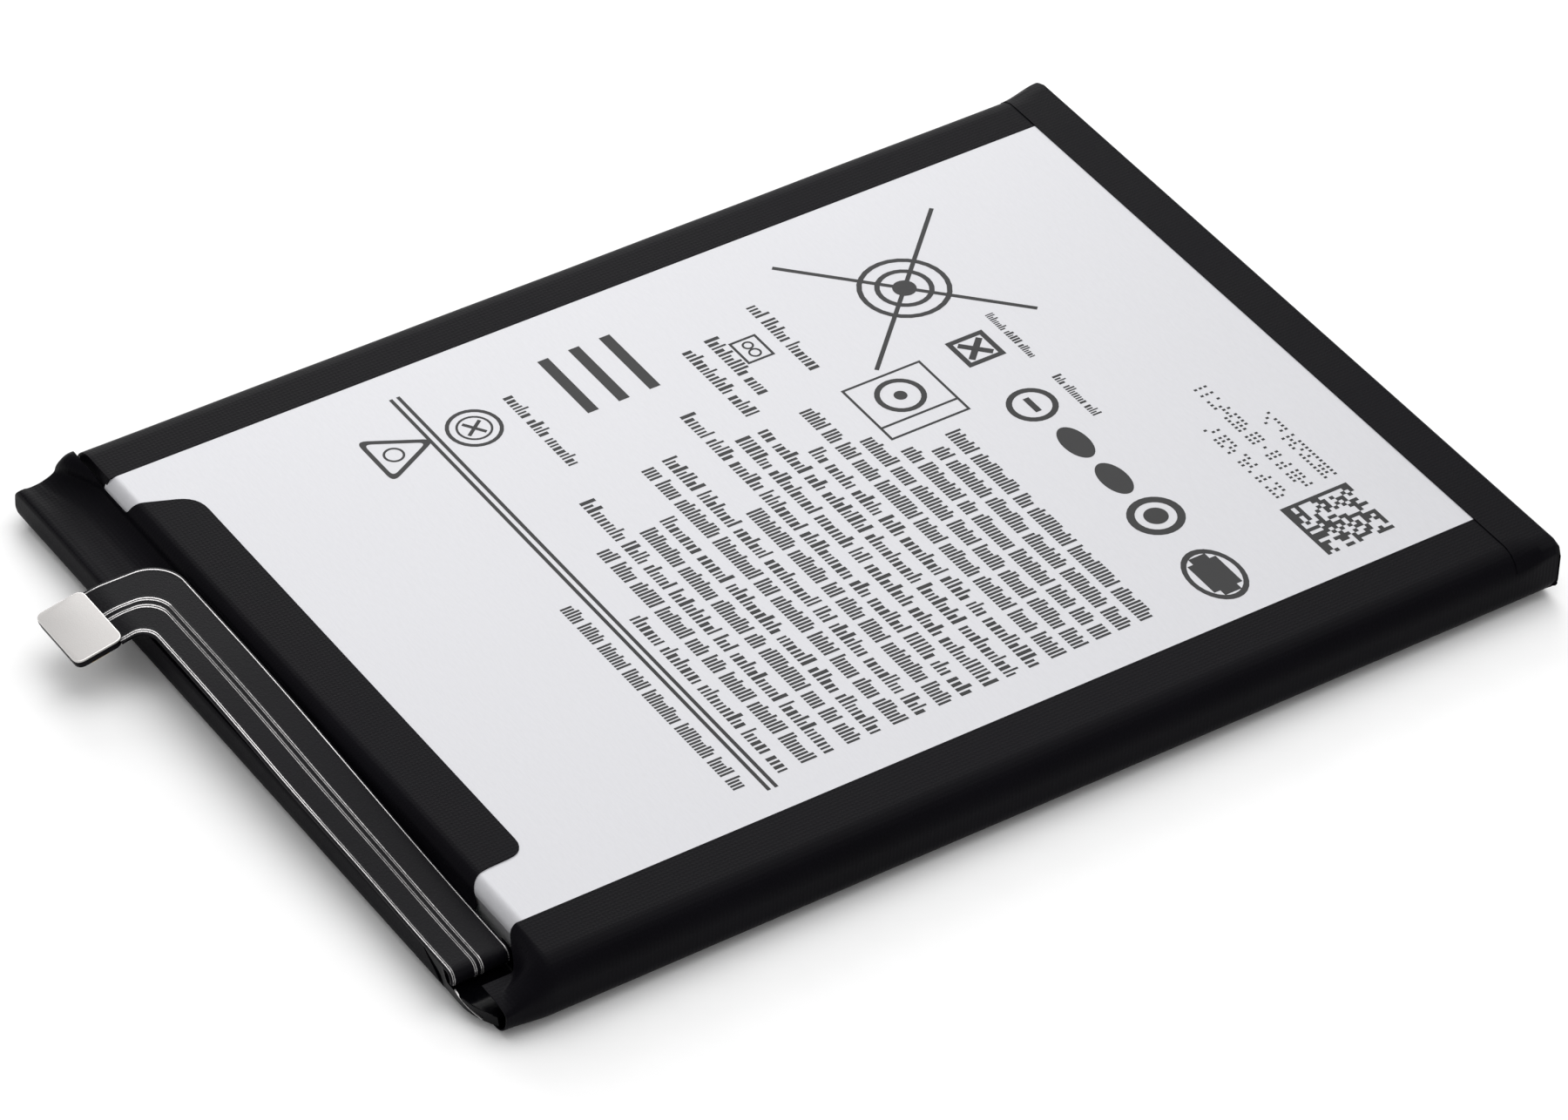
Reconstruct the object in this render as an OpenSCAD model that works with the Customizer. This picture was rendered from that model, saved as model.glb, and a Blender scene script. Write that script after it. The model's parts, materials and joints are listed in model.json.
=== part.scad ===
/* [Pack] */
// Width over the side tapes
pack_w = 64; // [56:1:72]
// Thickness over the tapes
pack_t = 4.7; // [4.4:0.1:5.4]
// Length of the face label, between its tail edge and the head shoulder
label_len = 79.4; // [70:0.2:90]
// Distance from the label's tail edge to the tail end of the pack
tail_margin = 3.75; // [3:0.25:6]
// Width of the tape border beside the label
side_margin = 5.2; // [4.4:0.1:7]
// Radius of the long top edges
top_edge_r = 2; // [1.6:0.1:2.2]
// Radius of the long bottom edges
base_edge_r = 1.4; // [1.1:0.1:1.6]
// Thickness of one layer of wrap tape
tape_t = 0.09; // [0.06:0.01:0.12]

/* [Terrace] */
// Length of the terrace that holds the protection board
terrace_len = 4.65; // [4.4:0.05:5.2]
// Height of the taped terrace
terrace_h = 2.6; // [2.5:0.05:2.8]
// Radius of the shoulder where the face drops to the terrace
shoulder_r = 0.9; // [0.6:0.1:1.1]
// Width of the head tape's tab on the label
tab_w = 43.8; // [36:0.2:48]
// Length of the head tape's tab on the label
tab_len = 4.4; // [3:0.1:6]

/* [Cell] */
// Thickness of the pouch laminate
laminate_t = 0.12; // [0.1:0.01:0.14]
// Turns in the flattened roll of electrodes
roll_turns = 3.5; // [2.5:1:3.5]
// Width of a cell tab
tab_strip_w = 4; // [3:0.5:5]
// Thickness of a cell tab
tab_strip_t = 0.1; // [0.08:0.01:0.12]

/* [Board] */
// Length of the protection board
board_len = 53; // [48:1:54]
// Width of the protection board
board_w = 3.1; // [2.8:0.1:3.2]
// Thickness of the protection board
board_t = 0.6; // [0.5:0.05:0.65]

/* [Flex] */
// Width of the flex arm over the terrace
arm_w = 4.6; // [4:0.1:5]
// Width of the flex neck that leads to the connector
neck_w = 5.6; // [4.6:0.1:6.2]
// Thickness of the flex
flex_t = 0.18; // [0.12:0.03:0.24]
// Position of the fold across the pack
fold_x = 26.3; // [25:0.1:27]
// Position of the neck's centre line across the pack
neck_x = -15.3; // [-20:0.1:-10]
// Height that the arm springs up between its fold and its neck
arm_rise = 1.3; // [0.6:0.1:1.6]

/* [Connector] */
// Width of the stiffener plate
plate_w = 5.7; // [5:0.1:7]
// Length of the stiffener plate
plate_len = 3.8; // [3.4:0.1:5]
// Thickness of the stiffener plate
plate_t = 0.16; // [0.1:0.02:0.3]
// Angle that the connector droops at rest
droop = 11.5; // [0:0.5:20]
// Height of the connector housing
housing_h = 0.65; // [0.5:0.05:0.8]
// Signal contacts in each of the two rows
contact_count = 5; // [3:1:6]

/* [Hidden] */
$fn = 48;

// Main planes of the pack, with the label's centre on the Z axis
shoulder_y = -label_len / 2;
label_tail_y = label_len / 2;
tail_y = label_tail_y + tail_margin;
front_y = shoulder_y - terrace_len;
half_w = pack_w / 2;
wrap_half_w = half_w - base_edge_r;
head_lap = 1.1;
front_edge_r = 0.9;
head_wrap_x1 = 22.6;
tab_x = -0.7;
tab_corner_r = 1.4;
label_half_w = half_w - side_margin;
cell_z0 = tape_t;
cell_z1 = pack_t - 2 * tape_t;
label_z1 = pack_t - tape_t;
tail_edge_r = 0.5;
tail_base_r = 1.2;

// Cell: the pouch, its folded side seals and the roll inside
seal_t = 0.22;
seal_z1 = 2.6;
seal_end_gap = 1;
cell_half_w = half_w - 2 * tape_t - seal_t;
cell_head_y = shoulder_y + tape_t + 0.03;
cell_tail_y = tail_y - tape_t;
pouch_split_z = 1.2;
seal_z0 = pouch_split_z + 0.1;
roll_r = 2;
roll_half_w = 30.2;
roll_head_y = cell_head_y + 2.2;
roll_tail_y = cell_tail_y - 0.9;
roll_z = (cell_z0 + cell_z1) / 2;
roll_core_r = 0.25;
sheet_t = 0.12;
separator_t = 0.04;
separator_lift = 0.145;
end_tape_x0 = 8;
end_tape_x1 = 20;
roll_pitch = (roll_r - roll_core_r - separator_lift - separator_t) / roll_turns;

// Terrace: flange, foam, board and parts, stacked from the base up
flange_z1 = cell_z0 + 3 * laminate_t;
flange_y = front_y + 0.95;
flange_half_w = 29.6;
foam_t = 0.34;
board_z0 = flange_z1 + foam_t;
board_z1 = board_z0 + board_t;
board_y1 = shoulder_y - 0.5;
board_y0 = board_y1 - board_w;
board_x1 = 25.4;
board_x0 = board_x1 - board_len;
part_h = 0.75;
cathode_x = -10;
anode_x = 9;
pad_t = 0.1;
film_pad = 0.05;
film_side = 0.8;
film_end = 0.1;
film_run_in = 0.5;
ic_x = -2;
mosfet_xs = [2.4, 15.2];
chip_xs = [-25.5, -23.4, -21.3, -5, 18.6, 20];
chip_h = 0.5;
fuse_x = -16.5;
thermistor_x = 12;
board_film_x1 = 21;

// Flex: the root on the board, the fold, the rising arm, the bend and the neck
film_t = flex_t / 3;
arm_clearance = 0.06;
fold_top_z = terrace_h + arm_clearance + flex_t;
fold_z = (board_z1 + fold_top_z) / 2;
fold_r = (fold_top_z - board_z1) / 2;
arm_y1 = shoulder_y - 0.3;
arm_y0 = arm_y1 - arm_w;
arm_z0 = fold_top_z - flex_t / 2;
arm_z1 = arm_z0 + arm_rise;
bend_x = neck_x + neck_w / 2 + 4;
bend_outer_r = 2.6;
bend_inner_r = 1.2;
neck_pivot_y = arm_y0 - 1;
neck_half_gap = 0.3;
arm_steps = 16;
track_edge = 0.35;
track_w = 1.6;
sense_w = 0.2;

// Connector, laid out from the neck's pivot and then drooped
plate_gap = 1;
plate_r = 0.5;
glue_t = 0.04;
housing_w = 4.9;
housing_len = 2.6;
housing_y = -(plate_gap + plate_len / 2);
socket_w = 3.7;
socket_len = 1.1;
socket_depth = 0.45;
contact_w = 0.2;
contact_pitch = 0.55;

// ---------- outlines ----------

// Rectangle with a radius of its own at each corner
module rounded_outline(a0, a1, b0, b1, low0, low1, high1, high0) {
    polygon([
        [a0 + low0, b0], [a1 - low1, b0], [a1, b0 + low1], [a1, b1 - high1],
        [a1 - high1, b1], [a0 + high0, b1], [a0, b1 - high0], [a0, b0 + low0]
    ]);
    if (low0 > 0) translate([a0 + low0, b0 + low0]) circle(low0);
    if (low1 > 0) translate([a1 - low1, b0 + low1]) circle(low1);
    if (high1 > 0) translate([a1 - high1, b1 - high1]) circle(high1);
    if (high0 > 0) translate([a0 + high0, b1 - high0]) circle(high0);
}

// Extrudes an outline drawn in X and Z from y0 to y1
module along_y(y0, y1) {
    translate([0, y1, 0]) rotate([90, 0, 0]) linear_extrude(y1 - y0) children();
}

// Extrudes an outline drawn in Y and Z from x0 to x1
module along_x(x0, x1) {
    translate([x0, 0, 0]) rotate([90, 0, 90]) linear_extrude(x1 - x0) children();
}

// Extrudes an outline drawn in X and Y from z0 to z1
module along_z(z0, z1) {
    translate([0, 0, z0]) linear_extrude(z1 - z0) children();
}

// Box between two corners
module box(low, high) {
    translate(low) cube(high - low);
}

// Soft-edged block of the pack, its faces inset from the outside of the wrap
module pack_block(half, z0, z1, y0, y1, head_r) {
    top_r = top_edge_r - (pack_t - z1);
    base_r = base_edge_r - z0;
    inset = pack_t - z1;
    intersection() {
        along_y(y0, y1) rounded_outline(-half, half, z0, z1, base_r, base_r, top_r, top_r);
        along_x(-half, half)
            rounded_outline(y0, y1, z0, z1, 0.3, tail_base_r - z0, tail_edge_r - inset / 2, head_r);
    }
}

// ---------- cell ----------

module cell_solid(inset) {
    pack_block(
        cell_half_w - inset, cell_z0 + inset, cell_z1 - inset,
        cell_head_y + inset, cell_tail_y - inset, shoulder_r - inset
    );
}

module cell_shell() {
    difference() {
        cell_solid(0);
        cell_solid(laminate_t);
    }
}

module slab(z0, z1) {
    box([-half_w - 1, front_y - 1, z0], [half_w + 1, tail_y + 1, z1]);
}

module pouch_cup() {
    color([0.80, 0.80, 0.82]) {
        intersection() {
            cell_shell();
            slab(pouch_split_z, pack_t);
        }
        difference() {
            box(
                [-flange_half_w, flange_y, cell_z0 + laminate_t],
                [flange_half_w, cell_head_y, flange_z1]
            );
            for (x = [cathode_x, anode_x]) tab_film_block(x);
        }
    }
}

module pouch_back() {
    color([0.78, 0.78, 0.80]) {
        difference() {
            intersection() {
                cell_shell();
                slab(0, pouch_split_z);
            }
            for (x = [cathode_x, anode_x]) tab_film_block(x);
        }
        box([-flange_half_w, flange_y, cell_z0], [flange_half_w, cell_head_y, cell_z0 + laminate_t]);
    }
}

module side_seal(side) {
    x0 = side * cell_half_w;
    x1 = side * (cell_half_w + seal_t);
    color([0.76, 0.76, 0.78])
        box(
            [min(x0, x1), cell_head_y + seal_end_gap, seal_z0],
            [max(x0, x1), cell_tail_y - seal_end_gap, seal_z1]
        );
}

// Point of the flattened spiral at an angle, on the side of the flat that it bends round
function roll_point(angle, lift, side) =
    let (r = roll_core_r + lift + roll_pitch * (angle + 90) / 360)
    [r * cos(angle) + side * (roll_half_w - roll_r), r * sin(angle)];

// The spiral's points, half a turn at a time
function roll_path(lift) = [
    for (half_turn = [0 : 2 * roll_turns - 2])
    for (step = [0 : 8])
        roll_point(
            -90 + 180 * half_turn + 22.5 * step, lift,
            half_turn % 2 == 0 ? 1 : -1
        )
];

function reversed(list) = [for (i = [len(list) - 1 : -1 : 0]) list[i]];

// One sheet of the roll, between two distances from the spiral's inner line
module rolled_sheet(lift, thickness, head_gap, tail_gap) {
    translate([0, 0, roll_z])
        along_y(roll_head_y + head_gap, roll_tail_y - tail_gap)
            polygon(concat(roll_path(lift), reversed(roll_path(lift + thickness))));
}

module anode_sheet() {
    color([0.20, 0.19, 0.19]) rolled_sheet(0, sheet_t, 0.4, 0.4);
}

module cathode_sheet() {
    color([0.13, 0.13, 0.14]) rolled_sheet(roll_pitch / 2, sheet_t, 0.9, 0.9);
}

module separator_sheets() {
    color([0.93, 0.93, 0.91])
        for (lift = [0, roll_pitch / 2]) rolled_sheet(lift + separator_lift, separator_t, 0, 0);
}

module roll_end_tape() {
    color([0.35, 0.62, 0.80])
        box(
            [end_tape_x0, roll_head_y, roll_z + roll_r + 0.02],
            [end_tape_x1, roll_tail_y, roll_z + roll_r + 0.02 + separator_t]
        );
}

// Sealing film round a tab, through the flange
module tab_film_block(x) {
    film_half = tab_strip_w / 2 + film_side;
    box(
        [x - film_half, flange_y - film_end, cell_z0 + laminate_t],
        [x + film_half, cell_head_y + film_run_in, flange_z1 - film_pad]
    );
}

// Line that a tab follows: out of the roll, through the flange, and round on to the board
function tab_path() =
    let (seal_z = cell_z0 + laminate_t + 0.14)
    [
        [roll_head_y - 0.1, roll_z], [roll_head_y - 0.8, roll_z],
        [cell_head_y + 0.8, seal_z], [flange_y - 0.2, seal_z],
        [flange_y - 0.2, board_z1 + pad_t + tab_strip_t / 2],
        [board_y0 + 1.9, board_z1 + pad_t + tab_strip_t / 2]
    ];

// Direction square to the line of points at one of them, long enough to keep the sheet's thickness
function left_of(v) = [-v[1], v[0]] / norm(v);
function miter(points, i) =
    let (
        last = len(points) - 1,
        before = left_of(points[max(i, 1)] - points[max(i, 1) - 1]),
        after = left_of(points[min(i + 1, last)] - points[min(i + 1, last) - 1])
    )
    (before + after) / (1 + before * after);

// Sheet of one thickness along a line of points drawn in two axes
module bent_strip(points, thickness) {
    steps = [for (i = [0 : len(points) - 1]) i];
    polygon(concat(
        [for (i = steps) points[i] + miter(points, i) * thickness / 2],
        [for (i = reversed(steps)) points[i] - miter(points, i) * thickness / 2]
    ));
}

module cell_tab(x) {
    along_x(x - tab_strip_w / 2, x + tab_strip_w / 2) bent_strip(tab_path(), tab_strip_t);
}

module cathode_tab() {
    color([0.85, 0.86, 0.88]) cell_tab(cathode_x);
}

module anode_tab() {
    color([0.72, 0.70, 0.65]) cell_tab(anode_x);
}

module tab_film(x) {
    difference() {
        tab_film_block(x);
        cell_tab(x);
    }
}

module cathode_tab_film() {
    color([0.92, 0.90, 0.82]) tab_film(cathode_x);
}

module anode_tab_film() {
    color([0.92, 0.90, 0.82]) tab_film(anode_x);
}

// ---------- protection board ----------

module board_foam() {
    color([0.16, 0.16, 0.17])
        box([board_x0 + 1, board_y0 + 0.4, flange_z1], [board_x1 - 1, board_y1, board_z0]);
}

module circuit_board() {
    color([0.05, 0.25, 0.14])
        along_z(board_z0, board_z1)
            rounded_outline(board_x0, board_x1, board_y0, board_y1, 0.4, 0.4, 0.4, 0.4);
}

// Component body standing on the board
module part_on_board(x, length, width, height) {
    mid_y = (board_y0 + board_y1) / 2;
    box([x - length / 2, mid_y - width / 2, board_z1], [x + length / 2, mid_y + width / 2, board_z1 + height]);
}

module protection_ic() {
    color([0.08, 0.08, 0.09]) part_on_board(ic_x, 2.9, 1.8, part_h);
}

module power_mosfets() {
    color([0.10, 0.10, 0.11])
        for (x = mosfet_xs) part_on_board(x, 3, 2, part_h - 0.05);
}

module chip_parts() {
    color([0.60, 0.52, 0.42])
        for (x = chip_xs) part_on_board(x, 0.8, 1.6, chip_h);
}

module thermal_fuse() {
    color([0.70, 0.70, 0.68]) part_on_board(fuse_x, 4.4, 2.2, part_h);
}

module thermistor() {
    color([0.20, 0.20, 0.22]) part_on_board(thermistor_x, 1, 0.5, chip_h);
}

module weld_pads() {
    color([0.75, 0.74, 0.70])
        for (x = [cathode_x, anode_x])
            box([x - 2.2, board_y0 + 0.2, board_z1], [x + 2.2, board_y1 - 0.4, board_z1 + pad_t]);
}

module board_film() {
    film_z = board_z1 + part_h + 0.05;
    color([0.72, 0.42, 0.10])
        box([board_x0 + 0.5, board_y0, film_z], [board_film_x1, board_y1, film_z + 0.05]);
}

// ---------- label and wrap ----------

module label() {
    color([0.87, 0.87, 0.88])
        box([-label_half_w, shoulder_y + shoulder_r, cell_z1], [label_half_w, label_tail_y, label_z1]);
}

module back_film() {
    color([0.80, 0.80, 0.82])
        box([-label_half_w, shoulder_y + 1.2, 0], [label_half_w, label_tail_y, cell_z0]);
}

// C-shaped wrap over one long side, drawn for the +X side
module side_wrap_section(z_high) {
    outer = half_w - tape_t;
    difference() {
        rounded_outline(
            label_half_w, outer, 0, label_z1,
            0, base_edge_r, top_edge_r - tape_t, 0
        );
        rounded_outline(
            label_half_w - 1, outer - tape_t, cell_z0, cell_z1,
            0, base_edge_r - tape_t, top_edge_r - 2 * tape_t, 0
        );
        translate([label_half_w - 2, z_high]) square([side_margin + 4, pack_t]);
    }
}

module side_tape(side) {
    terrace_end_y = front_y + 0.5;
    cut_y = tail_y - tape_t;
    mirror([side < 0 ? 1 : 0, 0, 0]) difference() {
        union() {
            along_y(shoulder_y, cut_y) side_wrap_section(pack_t);
            along_y(terrace_end_y, shoulder_y) side_wrap_section(terrace_h - 0.3);
        }
        // The tail tape lies in the same layer underneath, and its end is rounded
        box([0, label_tail_y, -1], [half_w + 1, tail_y + 1, cell_z0]);
        difference() {
            box([0, tail_y - 2, -1], [half_w + 1, tail_y + 1, pack_t + 1]);
            along_x(-1, half_w + 2)
                rounded_outline(
                    tail_y - 6, cut_y, cell_z0, label_z1,
                    0, tail_base_r - tape_t, tail_edge_r - tape_t, 0
                );
        }
        // The shoulder's own radius
        difference() {
            box([0, shoulder_y - 0.01, label_z1 - shoulder_r], [half_w + 1, shoulder_y + shoulder_r, pack_t]);
            along_x(-1, half_w + 2)
                translate([shoulder_y + shoulder_r, label_z1 - shoulder_r]) circle(shoulder_r);
        }
        // The head tape takes its place under the terrace on the far side
        if (side < 0) box([0, front_y - 1, -1], [wrap_half_w, shoulder_y + head_lap + 0.05, cell_z0]);
    }
}

module side_tape_left() {
    color([0.10, 0.10, 0.11]) side_tape(-1);
}

module side_tape_right() {
    color([0.10, 0.10, 0.11]) side_tape(1);
}

module tail_tape() {
    flap_z = pack_t - 1;
    inner_top_r = top_edge_r - tape_t;
    color([0.11, 0.11, 0.12]) intersection() {
        along_x(-half_w, half_w) difference() {
            rounded_outline(label_tail_y, tail_y, 0, pack_t, 0, tail_base_r, tail_edge_r, 0);
            rounded_outline(
                label_tail_y - 1, tail_y - tape_t, cell_z0, label_z1,
                0, tail_base_r - tape_t, tail_edge_r - tape_t, 0
            );
        }
        along_y(label_tail_y - 1, tail_y + 1)
            rounded_outline(
                -half_w + tape_t, half_w - tape_t, 0, pack_t,
                base_edge_r, base_edge_r, top_edge_r, top_edge_r
            );
    }
    // Flaps folded down over the long edges
    color([0.11, 0.11, 0.12])
        intersection() {
            along_y(label_tail_y, tail_y - tape_t) difference() {
                rounded_outline(-half_w, half_w, 0, pack_t, 0, 0, top_edge_r, top_edge_r);
                rounded_outline(
                    -half_w + tape_t, half_w - tape_t, -1, label_z1,
                    0, 0, inner_top_r, inner_top_r
                );
            }
            slab(flap_z, pack_t);
        }
}

// Section of the head tape over the terrace, from the shoulder to the underside
function terrace_path() = [
    [shoulder_y - tape_t / 2, pack_t - shoulder_r],
    [shoulder_y - tape_t / 2, terrace_h],
    [shoulder_y - 0.2, terrace_h - tape_t / 2],
    [front_y + 0.3, terrace_h - tape_t / 2],
    [front_y + tape_t / 2, terrace_h - 0.3],
    [front_y + tape_t / 2, front_edge_r]
];

// Section of a tape round the bottom edge of the terrace
function underside_path() = [
    [front_y + tape_t / 2, front_edge_r],
    [front_y + front_edge_r * 0.35, front_edge_r * 0.35],
    [front_y + front_edge_r, tape_t / 2],
    [shoulder_y + head_lap, tape_t / 2]
];

module head_tape() {
    tab_y1 = shoulder_y + tab_len;
    color([0.12, 0.12, 0.13]) {
        along_x(-half_w + 2 * tape_t + 0.02, head_wrap_x1) bent_strip(terrace_path(), tape_t);
        along_x(-wrap_half_w, head_wrap_x1) bent_strip(underside_path(), tape_t);
        along_z(label_z1, pack_t)
            rounded_outline(
                tab_x - tab_w / 2, tab_x + tab_w / 2, shoulder_y + shoulder_r, tab_y1,
                0, 0, tab_corner_r, tab_corner_r
            );
        along_x(tab_x - tab_w / 2, tab_x + tab_w / 2) intersection() {
            difference() {
                translate([shoulder_y + shoulder_r - tape_t, pack_t - shoulder_r - tape_t])
                    circle(shoulder_r + tape_t);
                translate([shoulder_y + shoulder_r, pack_t - shoulder_r - tape_t]) circle(shoulder_r);
            }
            translate([shoulder_y - 1, pack_t - shoulder_r - tape_t]) square([1 + shoulder_r, 2]);
        }
    }
}

// Glossy tape round the corner of the terrace, under the fold
module corner_tape() {
    front_run = [[front_y + tape_t / 2, board_z1]];
    color([0.03, 0.03, 0.04])
        along_x(head_wrap_x1 + 0.1, label_half_w - 0.1) bent_strip(concat(front_run, underside_path()), tape_t);
}

// ---------- flex ----------

module flex_root() {
    color([0.20, 0.20, 0.21])
        box([board_x1 - 3.2, arm_y0 + 0.4, board_z1], [fold_x, arm_y1 - 0.2, board_z1 + flex_t]);
}

module flex_fold() {
    color([0.20, 0.20, 0.21]) along_y(arm_y0, arm_y1) intersection() {
        translate([fold_x, fold_z]) difference() {
            circle(fold_r);
            circle(fold_r - flex_t);
        }
        translate([fold_x, fold_z - 2 * fold_r]) square([2 * fold_r, 4 * fold_r]);
    }
}

function smooth(s) = s * s * (3 - 2 * s);

// Height of the arm's middle layer at a place along it
function arm_height(x) = arm_z0 + arm_rise * smooth((fold_x - x) / (fold_x - bend_x));

// Layer of the arm between two distances from its middle, and between two edges
module arm_layer(low, high, y0, y1) {
    xs = [for (i = [0 : arm_steps]) bend_x + (fold_x - bend_x) * i / arm_steps];
    along_y(y0, y1) polygon(concat(
        [for (x = xs) [x, arm_height(x) + low]],
        [for (x = reversed(xs)) [x, arm_height(x) + high]]
    ));
}

// Radius of the bend at a distance from its tail edge
function bend_r(from_tail) = bend_outer_r + (bend_inner_r - bend_outer_r) * from_tail / arm_w;

// Plan of the bend from the arm into the neck, inset from its tail and front edges.
// The neck is wider than the arm, and shares the difference between its two insets.
module bend_plan(from_tail, from_front, neck_share) {
    widening = neck_w - arm_w;
    x0 = neck_x - neck_w / 2 + from_tail + widening * (from_tail > 1 ? neck_share : 0);
    x1 = neck_x + neck_w / 2 - from_front - widening * (from_front > 1 ? neck_share : 0);
    y1 = arm_y1 - from_tail;
    y0 = arm_y0 + from_front;
    r_out = bend_r(from_tail);
    r_in = bend_r(arm_w - from_front);
    end_y = neck_pivot_y + neck_half_gap;
    difference() {
        rounded_outline(x0, bend_x, end_y, y1, 0, 0, 0, r_out);
        rounded_outline(x1, bend_x + 1, end_y - 1, y0, 0, 0, 0, r_in);
        // The corner's circle must not run on past the neck's end
        translate([x0 - 1, end_y - neck_w]) square([bend_x - x0 + 2, neck_w]);
    }
}

module bend_layer(low, high, from_tail, from_front) {
    along_z(arm_z1 + low, arm_z1 + high) bend_plan(from_tail, from_front, 0.5);
}

module film(low, high) {
    arm_layer(low, high, arm_y0, arm_y1);
    bend_layer(low, high, 0, 0);
}

module arm_base_film() {
    color([0.21, 0.20, 0.21]) film(-flex_t / 2, -film_t / 2);
}

module arm_cover_film() {
    color([0.21, 0.20, 0.21]) film(film_t / 2, flex_t / 2);
}

// Copper track along the arm and the neck, between two insets from the tail-side edge
module track(from_tail, from_front) {
    arm_layer(-film_t / 2, film_t / 2, arm_y0 + from_front, arm_y1 - from_tail);
    bend_layer(-film_t / 2, film_t / 2, from_tail, from_front);
}

module arm_power_conductors() {
    color([0.72, 0.45, 0.28]) {
        track(track_edge, arm_w - track_edge - track_w);
        track(arm_w - track_edge - track_w, track_edge);
    }
}

module arm_sense_trace() {
    color([0.72, 0.45, 0.28]) track((arm_w - sense_w) / 2, (arm_w - sense_w) / 2);
}

module flex_neck() {
    color([0.21, 0.20, 0.21])
        box(
            [neck_x - neck_w / 2, neck_pivot_y - neck_half_gap, arm_z1 - flex_t / 2],
            [neck_x + neck_w / 2, neck_pivot_y + neck_half_gap, arm_z1 + flex_t / 2]
        );
}

// ---------- connector ----------

// Places the connector's pieces at the neck's pivot, drooped
module at_neck() {
    translate([neck_x, neck_pivot_y, arm_z1]) rotate([droop, 0, 0]) children();
}

module plate_outline(inset) {
    rounded_outline(
        -plate_w / 2 + inset, plate_w / 2 - inset,
        -plate_gap - plate_len + inset, -plate_gap - inset,
        plate_r, plate_r, plate_r, plate_r
    );
}

module flex_tail() {
    color([0.21, 0.20, 0.21]) at_neck() {
        along_z(-flex_t / 2, flex_t / 2) plate_outline(0.08);
        box(
            [-neck_w / 2, -plate_gap - 1, -flex_t / 2],
            [neck_w / 2, -neck_half_gap - 0.05, flex_t / 2]
        );
    }
}

module stiffener_adhesive() {
    color([0.45, 0.42, 0.36]) at_neck() along_z(flex_t / 2, flex_t / 2 + glue_t) plate_outline(0.08);
}

module stiffener_plate() {
    color([0.77, 0.75, 0.74])
        at_neck() along_z(flex_t / 2 + glue_t, flex_t / 2 + glue_t + plate_t) plate_outline(0);
}

module connector_housing() {
    top = -flex_t / 2;
    color([0.05, 0.05, 0.06]) at_neck() translate([0, housing_y, 0]) difference() {
        box([-housing_w / 2, -housing_len / 2, top - housing_h], [housing_w / 2, housing_len / 2, top]);
        box(
            [-socket_w / 2, -socket_len / 2, top - housing_h - 1],
            [socket_w / 2, socket_len / 2, top - housing_h + socket_depth]
        );
    }
}

module signal_contacts() {
    top = -flex_t / 2 - housing_h + socket_depth;
    span = (contact_count - 1) * contact_pitch;
    color([0.85, 0.65, 0.25]) at_neck() translate([0, housing_y, 0])
        for (row = [-1, 1]) for (i = [0 : contact_count - 1])
            translate([-span / 2 + i * contact_pitch, row * (socket_len / 2 - 0.1), top - 0.2])
                cube([contact_w, 0.16, 0.4], center = true);
}

module power_contacts() {
    top = -flex_t / 2;
    color([0.85, 0.65, 0.25]) at_neck() translate([0, housing_y, 0])
        for (side = [-1, 1])
            translate([side * (housing_w / 2 + 0.08), 0, top - housing_h / 2])
                cube([0.16, 1.4, housing_h], center = true);
}

pouch_cup();
pouch_back();
side_seal(-1);  // side_seal_left
side_seal(1);  // side_seal_right
cathode_sheet();
anode_sheet();
separator_sheets();
roll_end_tape();
cathode_tab();
anode_tab();
cathode_tab_film();
anode_tab_film();
board_foam();
circuit_board();
protection_ic();
power_mosfets();
chip_parts();
thermal_fuse();
thermistor();
weld_pads();
board_film();
label();
back_film();
side_tape_left();
side_tape_right();
tail_tape();
head_tape();
corner_tape();
flex_root();
flex_fold();
arm_base_film();
arm_power_conductors();
arm_sense_trace();
arm_cover_film();
flex_neck();
flex_tail();
stiffener_adhesive();
stiffener_plate();
connector_housing();
signal_contacts();
power_contacts();
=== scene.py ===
"""A flat pouch battery pack: printed label, wrap tapes, folded flex and board connector."""

import json
import math
import random

import bmesh
import bpy
from mathutils import Matrix, Vector
from mathutils.geometry import delaunay_2d_cdt


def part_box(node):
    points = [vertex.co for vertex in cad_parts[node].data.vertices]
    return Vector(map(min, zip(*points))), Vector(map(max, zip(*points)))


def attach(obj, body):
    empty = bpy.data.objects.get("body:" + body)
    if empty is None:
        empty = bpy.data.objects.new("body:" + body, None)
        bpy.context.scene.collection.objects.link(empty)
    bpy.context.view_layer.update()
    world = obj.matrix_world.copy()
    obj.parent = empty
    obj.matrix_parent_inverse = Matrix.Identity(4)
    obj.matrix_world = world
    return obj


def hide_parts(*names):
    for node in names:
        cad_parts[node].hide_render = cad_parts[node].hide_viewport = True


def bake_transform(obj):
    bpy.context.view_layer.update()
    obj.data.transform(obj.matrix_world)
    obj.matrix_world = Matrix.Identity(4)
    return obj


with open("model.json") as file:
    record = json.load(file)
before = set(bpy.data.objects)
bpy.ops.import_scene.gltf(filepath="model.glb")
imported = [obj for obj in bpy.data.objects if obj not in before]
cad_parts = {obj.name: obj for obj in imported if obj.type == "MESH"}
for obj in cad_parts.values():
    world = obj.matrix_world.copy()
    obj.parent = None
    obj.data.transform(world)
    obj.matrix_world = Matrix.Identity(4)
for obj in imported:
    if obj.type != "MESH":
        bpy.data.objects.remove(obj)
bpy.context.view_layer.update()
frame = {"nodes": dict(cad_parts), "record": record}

# ---------- sizes, in millimetres, in the CAD's frame ----------

MM = 0.001


def node_box(name):
    """Lowest and highest corner of a CAD node, in millimetres."""
    low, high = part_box(name)
    return low / MM, high / MM


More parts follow.
